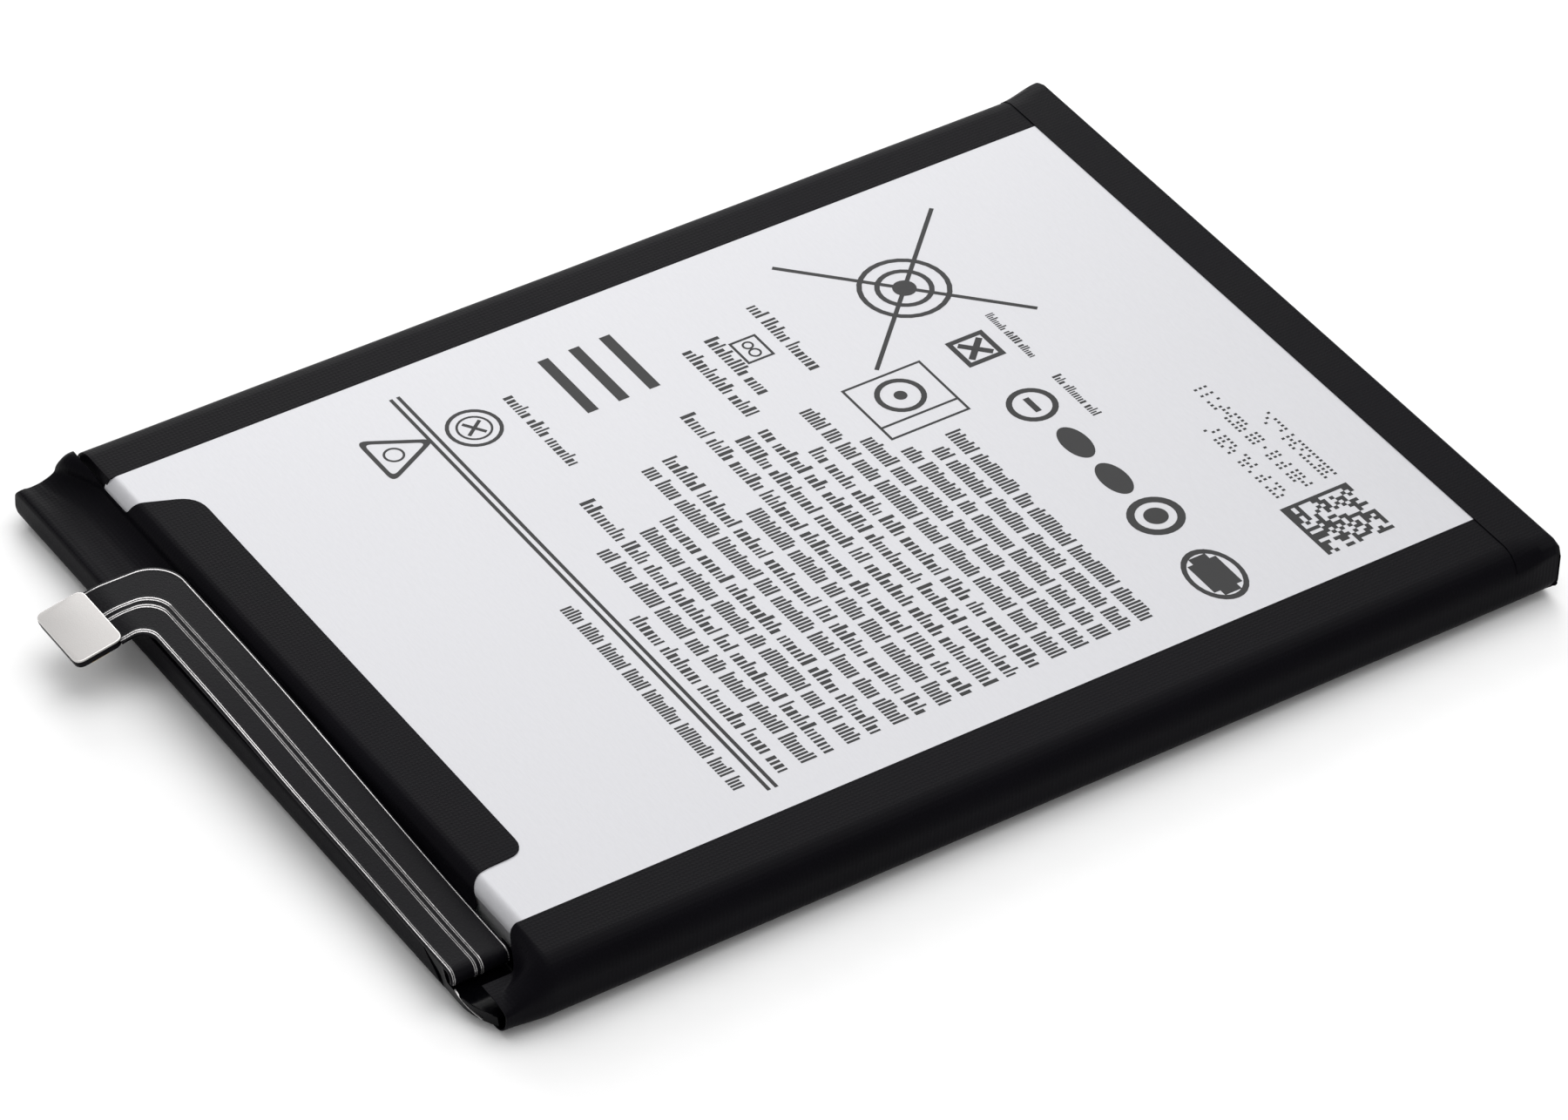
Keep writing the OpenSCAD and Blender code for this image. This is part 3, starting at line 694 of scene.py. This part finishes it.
def tail_point(x, s):
    """The tail tape, turned down over both long edges."""
    y, z = tail_section(s)
    radius = mix(SIDE_TOP_R, 0.8, smooth(s / 3.4)) - 0.01
    over = max(abs(x) - (SIDE_X - radius), 0.0)
    if over:
        turn = min(over / radius, math.pi / 2)
        beyond = max(over - radius * math.pi / 2, 0.0)
        share = smooth((z - 0.6) / 2.6)
        wide = SIDE_X - radius + radius * math.sin(turn)
        drop = (radius * (1 - math.cos(turn)) + beyond) * share
        z = max(z - drop, 0.0)
        if z < SIDE_BASE_R:
            wide = min(wide, base_limit(z))
        x = math.copysign(wide, x)
    return x, y, max(z - 0.012 + 0.010 * ripple(x, s * 3, 23, 2), 0.0)


def base_limit(z):
    """How far out the pack's rounded base edge reaches at a height."""
    drop = max(SIDE_BASE_R ** 2 - (SIDE_BASE_R - z) ** 2, 0)
    return SIDE_X - SIDE_BASE_R + math.sqrt(drop)


def make_tail_tape():
    half = SIDE_X + 0.55
    length = sum(TAIL_RUNS)

    def place(x, v):
        """The tape's own place, with its two cut ends a little uneven."""
        fray = 0.05 * math.sin(9 * v) + 0.03 * math.sin(23 * v)
        return tail_point(x * (1 + fray / 60 * (abs(x) > half - 0.6)), v)

    flat, faces = grid(spread(-half, half, 90), spread(0.02, length, 64))
    points, closed = shell(flat, faces, place, TAPE_T)
    add_piece("tail_tape_wrap", boxed(points), closed, [MATERIALS["black_tape"]], "pack",
              ["tail_tape"])


# Nominal lengths of the head tape's runs: tab, shoulder, ramp, terrace, edge, front, turn, base
HEAD_RUNS = (3.4, 1.7, 1.5, 3.6, 0.6, 1.4, 1.4, 4.6)
HEAD_SHOULDER_R = SHOULDER_R + TAPE_T


HEAD_TOP_EDGE = 0.32
HEAD_FRONT_DROP = 0.35
HEAD_BASE_R = 0.95


def head_point(x, s):
    """The head tape at a distance s from its tab's edge, down over the shoulder and the terrace."""
    bridge = smooth((-27.0 - x) / 4.5)
    gentle = smooth((8 - x) / 20)
    shift = -1.35 * bridge
    foot_y = mix(-40.35, -41.5, gentle) + shift * 0.75
    front = FRONT_Y + 0.01
    shoulder = SHOULDER_Y + shift
    leg = 0
    while leg < len(HEAD_RUNS) - 1 and s > HEAD_RUNS[leg]:
        s -= HEAD_RUNS[leg]
        leg += 1
    t = s / HEAD_RUNS[leg]
    wall_y = shoulder - HEAD_SHOULDER_R
    soft_z = mix(TERRACE_Z, 3.0, gentle)
    front_z = TERRACE_Z - HEAD_FRONT_DROP
    if leg == 0:
        y, z = mix(TAB_Y, shoulder, t), TOP_Z
    elif leg == 1:
        a = t * math.pi / 2
        y = shoulder - HEAD_SHOULDER_R * math.sin(a)
        z = SHOULDER_Z + HEAD_SHOULDER_R * math.cos(a)
    elif leg == 2:
        y, z = bezier((wall_y, SHOULDER_Z), (wall_y - 0.05, soft_z), (foot_y, TERRACE_Z), t)
    elif leg == 3:
        y, z = mix(foot_y, front + HEAD_TOP_EDGE, t), TERRACE_Z
        z -= 0.05 * math.sin(math.pi * t) ** 2 - 0.03 * math.exp(-((t - 0.8) / 0.05) ** 2)
    elif leg == 4:
        y, z = bezier((front + HEAD_TOP_EDGE, TERRACE_Z), (front, TERRACE_Z), (front, front_z), t)
    elif leg == 5:
        y, z = front, mix(front_z, HEAD_BASE_R, t)
    elif leg == 6:
        y, z = bezier((front, HEAD_BASE_R), (front, 0.0), (front + HEAD_BASE_R, 0.0), t)
    else:
        y, z = mix(front + HEAD_BASE_R, -38.6, min(t, 1)), 0.0
    wave = 0.014 * ripple(x, s * 4, 13, 5) if 1 < leg < 6 else 0.0
    if leg < 5:
        z += wave - 0.01
    elif leg == 5:
        y += wave
    return round_far_edge(x, y, z)


def round_far_edge(x, y, z):
    """Turns the head tape down over the far long edge; the lower the tape, the tighter the turn."""
    edge_x = mix(31.2, 30.5, smooth((z - TERRACE_Z) / 2))
    over = max(-x - edge_x, 0.0)
    if not over:
        return x, y, z
    radius = SIDE_X - edge_x - 0.01
    angle = min(over / radius, math.pi / 2)
    beyond = max(over - radius * math.pi / 2, 0.0)
    share = smooth(z / 3.4)
    wide = edge_x + radius * math.sin(angle)
    z = max(z - (radius * (1 - math.cos(angle)) + beyond) * share, 0.0)
    if z < SIDE_BASE_R:
        wide = min(wide, base_limit(z) - 0.01)
    return -wide, y + 0.12 * (over / 3) ** 2 * (y < -43), z


def make_head_tape():
    """Cut from an outline: tab on the label, a notch each side, and a wavy edge by the fold."""
    total = sum(HEAD_RUNS)
    under = HEAD_RUNS[0] + HEAD_RUNS[1] - 0.15
    wavy = [(22.4, under + 0.6), (22.1, 7.6), (22.5, 9.2), (22.6, 10.4), (23.4, 11.2), (24.6, 12.0),
            (25.2, 12.6), (25.9, 13.2)]
    outline = rounded(
        [(-32.9, 2.95), (-32.9, total), (25.9, total), *reversed(wavy),
         (21.9, under), (21.15, 3.6), (21.0, -0.2), (-22.1, -0.2), (-23.7, 3.7), (-24.0, under),
         (-27.4, under), (-28.6, 4.3), (-31.0, 3.35)],
        [0, 0, 0, *[0.3] * len(wavy), 0.5, 0.9, 1.35, 1.5, 0.6, 0.5, 0.6, 0.5, 0.5])
    flat, faces = filled(subdivided(outline, 0.7), 0.55, 0.22)
    points, closed = shell(flat, faces, head_point, -TAPE_T)
    add_piece("head_tape_wrap", boxed(points), closed, [MATERIALS["black_tape"]], "pack",
              ["head_tape"])


def corner_set_back(x):
    """How far the front curves back towards the near corner."""
    return 0.115 * max(x - 27.6, 0.0) ** 2


def corner_point(x, s):
    """Glossy tape round the corner of the terrace: s runs up the front from the underside."""
    turned = 0.35
    foot_z = 0.4
    top = 2.45 - 1.2 * smooth((x - 25.2) / 0.9)
    lean = 0.036 * ripple(x, 0, 5, 1)
    if s < turned:
        start, corner = (FRONT_Y + 2.0, 0.0), (FRONT_Y + 0.6, 0.0)
        y, z = bezier(start, corner, (FRONT_Y + 0.15, foot_z), s / turned)
    else:
        t = (s - turned) / (1 - turned)
        y, z = FRONT_Y + 0.15 - 0.12 * t, mix(foot_z, top, t)
    return x, y + corner_set_back(x) + lean, z


def make_corner_tape():
    flat, faces = grid(spread(21.9, 30.6, 40), spread(0, 1, 20))
    points, closed = shell(flat, faces, corner_point, TAPE_T)
    add_piece("corner_tape_wrap", points, closed, [MATERIALS["gloss_tape"]], "pack",
              ["corner_tape"])


def pocket_point(x, y):
    """Glossy tape under and beside the fold: a floor, a rise outward, and a wall at the pouch."""
    y = max(y, FRONT_Y + 0.2 + corner_set_back(x))
    floor_z = 1.1 + 0.45 * smooth((x - 27.2) / 2.0) - 0.3 * smooth((x - 27.0) / 2.4)
    rise = 1.2 * smooth((y + 41.2) / 1.4) * smooth((x - 28.2) / 1.2)
    wall = 1.45 * smooth((y + 39.97) / 0.22)
    return x, y, floor_z + max(rise, wall)


def make_pocket():
    ys = spread(-44.2, -40.0, 24) + spread(-39.96, -39.7, 8)
    flat, faces = grid(spread(25.5, 30.6, 30), ys)
    points, closed = shell(flat, faces, pocket_point, TAPE_T)
    add_piece("pocket_tape", points, closed, [MATERIALS["gloss_tape"]], "pack")


def make_board_edge():
    """The cut edge of the board film that shows beside the fold, as a thin square rod whose bright
    colour is a painted highlight.
    """
    ends = (27.0, -44.33, 1.35), (28.2, -44.45, 1.0), (29.6, -43.85, 0.55)
    section = ((-0.02, 0), (-0.02, 0.05), (0.08, 0.05), (0.08, 0))
    steps = 12
    points, faces = [], []
    for i in range(steps + 1):
        x, y, z = bezier(*ends, i / steps)
        points += [(x, y + a, z + b) for a, b in section]
    for i in range(steps):
        for k in range(4):
            a, b = 4 * i + k, 4 * i + (k + 1) % 4
            faces.append([a, b, b + 4, a + 4])
    faces += [[3, 2, 1, 0], [4 * steps + k for k in range(4)]]
    add_piece("board_film_edge_highlight", points, faces, [PAINTED_LINE_HIGHLIGHT], "pack")


# ---------- flex ----------

# Raised lines of the flex: place across it, from its tail-side edge (0) to its front edge (1),
# half-width on the same scale, and height
RIDGES = ((0.035, 0.008, 0.014), (0.462, 0.008, 0.036), (0.492, 0.007, 0.030),
          (0.568, 0.008, 0.036), (0.598, 0.007, 0.026), (0.935, 0.008, 0.028),
          (0.965, 0.008, 0.026))


def ridge_height(v):
    return sum(h * math.exp(-((v - at) / w) ** 2) for at, w, h in RIDGES)


def across_values():
    """Places across the flex, close together at the ridges."""
    values = {0.0, 1.0}
    values.update(k / 24 for k in range(1, 24))
    for at, width, _ in RIDGES:
        values.update(at + width * k for k in (-2, -1, 0, 1, 2))
    ordered = sorted(v for v in values if 0 <= v <= 1)
    kept = [ordered[0]]
    for v in ordered[1:]:
        if v - kept[-1] > 0.004:
            kept.append(v)
    kept[-1] = 1.0
    return kept


def arm_height(x):
    return ARM_Z0 + (ARM_Z1 - ARM_Z0) * smooth((FOLD_X - x) / (FOLD_X - BEND_X))


def fold_fibre(v):
    """Centre line of one strip of the fold: root on the board, half turn, start of the arm."""
    y = mix(ARM_Y1, ARM_Y0, v)
    tucked = min(max(y, ARM_Y0 + 0.45), ARM_Y1 - 0.25)
    low_z = FOLD_Z - FOLD_R
    fibre = [((x, tucked, low_z), (0, 0, -1)) for x in spread(FOLD_X - 3, FOLD_X - 0.2, 6)]
    for k in range(21):
        a = math.pi * k / 20
        side = mix(tucked, y, smooth(k / 9))
        out = (math.sin(a), 0, -math.cos(a))
        fibre.append(((FOLD_X + FOLD_R * math.sin(a), side, FOLD_Z - FOLD_R * math.cos(a)), out))
    fibre += [((x, y, arm_height(x)), (0, 0, 1)) for x in spread(FOLD_X - 0.25, SEAM_X, 14)]
    return fibre


def droop_flat(x, y):
    """Place and outward direction of the flex where its flat plan has (x, y) near the neck."""
    # The film starts to bend this far before the neck's pivot
    lead = 0.55
    bend_r = lead / math.tan(DROOP / 2)
    reach = PIVOT.y + lead - y
    if reach <= 0:
        return (x, y, ARM_Z1), (0, 0, 1)
    angle = min(reach / bend_r, DROOP)
    extra = max(reach - bend_r * DROOP, 0.0)
    across, up = math.sin(angle), math.cos(angle)
    y = PIVOT.y + lead - bend_r * across - extra * up
    z = ARM_Z1 - bend_r * (1 - up) - extra * across
    return (x, y, z), (0, -across, up)


def neck_fibre(v):
    """Centre line of one strip of the arm, the bend and the neck."""
    corner_x = mix(NECK_X0, NECK_X1 + NECK_EXTRA, v)
    r = mix(BEND_OUTER_R, BEND_INNER_R, v)

    def edge_y(x):
        return mix(ARM_Y1, ARM_Y0 - ARM_EXTRA * smooth((18 - x) / 14), v)

    y = edge_y(BEND_X)
    fibre = [((x, edge_y(x), arm_height(x)), (0, 0, 1)) for x in spread(SEAM_X, BEND_X, 44)]
    fibre += [droop_flat(x, y) for x in spread(BEND_X, corner_x + r, 5)[1:-1]]
    for k in range(17):
        a = math.pi / 2 * k / 16
        fibre.append(droop_flat(corner_x + r - r * math.sin(a), y - r + r * math.cos(a)))
    stop = PIVOT.y - PLATE_GAP - 0.3
    fibre += [droop_flat(corner_x, yy) for yy in spread(y - r, stop, 14)[1:]]
    return fibre


def flex_mesh(fibre_at, flat_rows=0):
    """Closed mesh of a flex from its strips, with ridges that die out before the flat last rows."""
    half_t = FLEX_T / 2 - 0.002
    vs = across_values()
    fibres = [fibre_at(v) for v in vs]
    rows, columns = len(fibres[0]), len(vs)
    outer, inner = [], []
    for i in range(rows):
        for j, v in enumerate(vs):
            centre, out = fibres[j][i]
            shown = min(1.0, max(0.0, (rows - flat_rows - i) / 3)) if flat_rows else 1.0
            height = half_t + ridge_height(v) * shown
            if v in (0.0, 1.0):
                height -= 0.02
            outer.append(Vector(centre) + Vector(out) * height)
            inner.append(Vector(centre) - Vector(out) * half_t)
    faces, kinds = [], []
    for i in range(rows - 1):
        for j in range(columns - 1):
            a = i * columns + j
            faces.append([a, a + 1, a + columns + 1, a + columns])
            middle = (vs[j] + vs[j + 1]) / 2
            # Faces on a ridge take the painted highlight
            kinds.append(1 if ridge_height(middle) > 0.008 else 0)
    count = len(outer)
    faces += [[count + k for k in reversed(f)] for f in faces]
    kinds += [0] * (len(faces) - len(kinds))
    edges = {(a, b) for f in faces[:len(faces) // 2] for a, b in zip(f, f[1:] + f[:1])}
    rim = [[b, a, count + a, count + b] for a, b in sorted(edges) if (b, a) not in edges]
    return outer + inner, faces + rim, kinds + [0] * len(rim)


def make_flex():
    """Two strips, each one mesh that runs across its joint."""
    # The second material is the painted highlight on the ridges
    film = [MATERIALS["flex_film"], PAINTED_LINE_HIGHLIGHT]
    points, faces, kinds = flex_mesh(fold_fibre)
    fold = add_piece("flex_fold_strip", points, faces, film, None,
                     ["flex_root", "flex_fold"], kinds, 50)
    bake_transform(fold)
    points, faces, kinds = flex_mesh(neck_fibre, 2)
    neck = add_piece("flex_neck_strip", points, faces, film, None,
                     ["arm_base_film", "arm_cover_film", "flex_neck"], kinds, 50)
    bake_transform(neck)


# ---------- connector ----------

def drooped(x, y, z):
    """From the connector's own axes, with the neck's pivot at zero, to the pack's."""
    c, s = math.cos(DROOP), math.sin(DROOP)
    return PIVOT.x + x, PIVOT.y + y * c - z * s, ARM_Z1 + y * s + z * c


def plate_stack(levels, tighten):
    """Closed stack of rounded rectangles; a level is a height and how far its edge is drawn in."""
    points, faces = [], []
    y0, y1 = -PLATE_GAP - PLATE_LEN, -PLATE_GAP
    for z, inset in levels:
        x = PLATE_W / 2 - inset
        corners = [(-x, y0 + inset), (x, y0 + inset), (x, y1 - inset), (-x, y1 - inset)]
        ring = rounded(corners, [PLATE_R - tighten * inset] * 4, 8)
        points += [drooped(a, b, z) for a, b in ring]
    count = len(points) // len(levels)
    for level in range(len(levels) - 1):
        for k in range(count):
            a, b = level * count + k, level * count + (k + 1) % count
            faces.append([a, b, b + count, a + count])
    faces.append(list(reversed(range(count))))
    faces.append([len(points) - count + k for k in range(count)])
    return points, faces, count


def make_tail_pad():
    """The end of the flex under the plate, with its layers and the edge of the connector."""
    levels = ((-0.42, 0.10), (-0.40, 0.06), (-0.11, 0.04), (-0.09, 0.0), (FLEX_T / 2, 0.0),
              (FLEX_T / 2 + GLUE_T, 0.03))
    points, faces, _ = plate_stack(levels, 0)
    add_piece("flex_tail_pad", points, faces, [MATERIALS["flex_film"]], "connector",
              ["flex_tail"])


def make_plate():
    """The stiffener plate, blasted, with its rounded rim on the upper two levels in a lighter
    colour: a painted highlight.
    """
    bottom = FLEX_T / 2 + GLUE_T
    top = bottom + PLATE_T
    levels = ((bottom, 0.02), (bottom + 0.02, 0.0), (top - 0.05, 0.0), (top - 0.015, 0.02),
              (top, 0.07))
    points, faces, count = plate_stack(levels, 1)
    # The upper two bands, the rounded rim, take the painted highlight
    kinds = [0] * (2 * count) + [1] * (2 * count) + [0, 0]
    add_piece("stiffener_face", points, faces, [MATERIALS["stiffener"], RIM_HIGHLIGHT], "connector",
              ["stiffener_plate"], kinds, 50)


# ---------- underside ----------

def make_back_film():
    """Bare laminate between the tapes on the underside, with faint unevenness."""
    low, high = node_box("back_film")

    def place(x, y):
        return x, y, 0.006 + 0.005 * ripple(x, y, 27, 3)

    flat, faces = grid(spread(low.x, high.x, 30), spread(low.y, high.y, 40))
    points, closed = shell(flat, faces, place, -BACK_FILM_T)
    add_piece("back_film_sheet", points, closed, [MATERIALS["pouch_laminate"]], "pack",
              ["back_film"])


def dress_cad_nodes():
    """Gives each CAD node that is still shown its slot's material."""
    for part in frame["record"]["subparts"]:
        node = frame["nodes"][part["node"]]
        for held in node.material_slots:
            held.material = MATERIALS[part["material_slot"]]


# ---------- stage, lights and camera ----------

def make_floor():
    """A pale floor, a hair below the pack so that the two faces don't coincide."""
    mesh = bpy.data.meshes.new("floor")
    reach = 1.6
    corners = [(-reach, -reach, 0), (reach, -reach, 0), (reach, reach, 0), (-reach, reach, 0)]
    mesh.from_pydata(corners, [], [[0, 1, 2, 3]])
    mesh.materials.append(grained("floor", (0.93, 0.93, 0.93), 0.9, 3.0, 0.01, spread=0.01,
                                  specular=0.1))
    floor = bpy.data.objects.new("floor", mesh)
    floor.location.z = -0.0002
    bpy.context.collection.objects.link(floor)


def add_light(name, place, size, power):
    """A soft rectangular light that faces the pack; place and size are in metres."""
    light = bpy.data.lights.new(name, "AREA")
    light.shape = "RECTANGLE"
    light.size, light.size_y = size
    light.energy = power
    holder = bpy.data.objects.new(name, light)
    holder.location = place
    holder.rotation_euler = (-Vector(place)).to_track_quat("-Z", "Y").to_euler()
    bpy.context.collection.objects.link(holder)


def make_lights():
    """A white studio. The standard view transform keeps its white ground white."""
    world = bpy.data.worlds.new("studio")
    world.use_nodes = True
    background = world.node_tree.nodes["Background"]
    background.inputs["Color"].default_value = (1.0, 1.0, 1.0, 1)
    background.inputs["Strength"].default_value = 0.6
    bpy.context.scene.world = world
    bpy.context.scene.view_settings.view_transform = "Standard"
    add_light("overhead", (-0.10, 0.15, 0.60), (0.7, 0.7), 2.7)
    add_light("far_left", (-0.55, 0.25, 0.30), (0.4, 0.3), 1.5)


def make_camera():
    """The camera of the photograph: from the near head corner, about 40 degrees above the pack."""
    place = Vector((340.4, -237.8, 348.1)) * MM
    data = bpy.data.cameras.new("camera")
    data.lens = 176.8
    data.sensor_width = 36
    data.sensor_fit = "HORIZONTAL"
    data.clip_start, data.clip_end = 0.01, 10
    camera = bpy.data.objects.new("camera", data)
    look = Vector((-0.6281, 0.4379, -0.6432)).normalized()
    right = Vector((0.5519, 0.8334, 0.0284)).normalized()
    up = (-look).cross(right)
    turn = Matrix((right, up, -look)).transposed().to_4x4()
    camera.matrix_world = Matrix.Translation(place) @ turn
    bpy.context.collection.objects.link(camera)
    bpy.context.scene.camera = camera


make_label()
make_print()
make_side_tape("side_tape_left", -1, FRONT_Y + 0.45)
make_side_tape("side_tape_right", 1, FRONT_Y + 1.2)
make_tail_tape()
make_head_tape()
make_corner_tape()
make_pocket()
make_board_edge()
make_flex()
make_tail_pad()
make_plate()
make_back_film()
dress_cad_nodes()
make_floor()
make_lights()
make_camera()
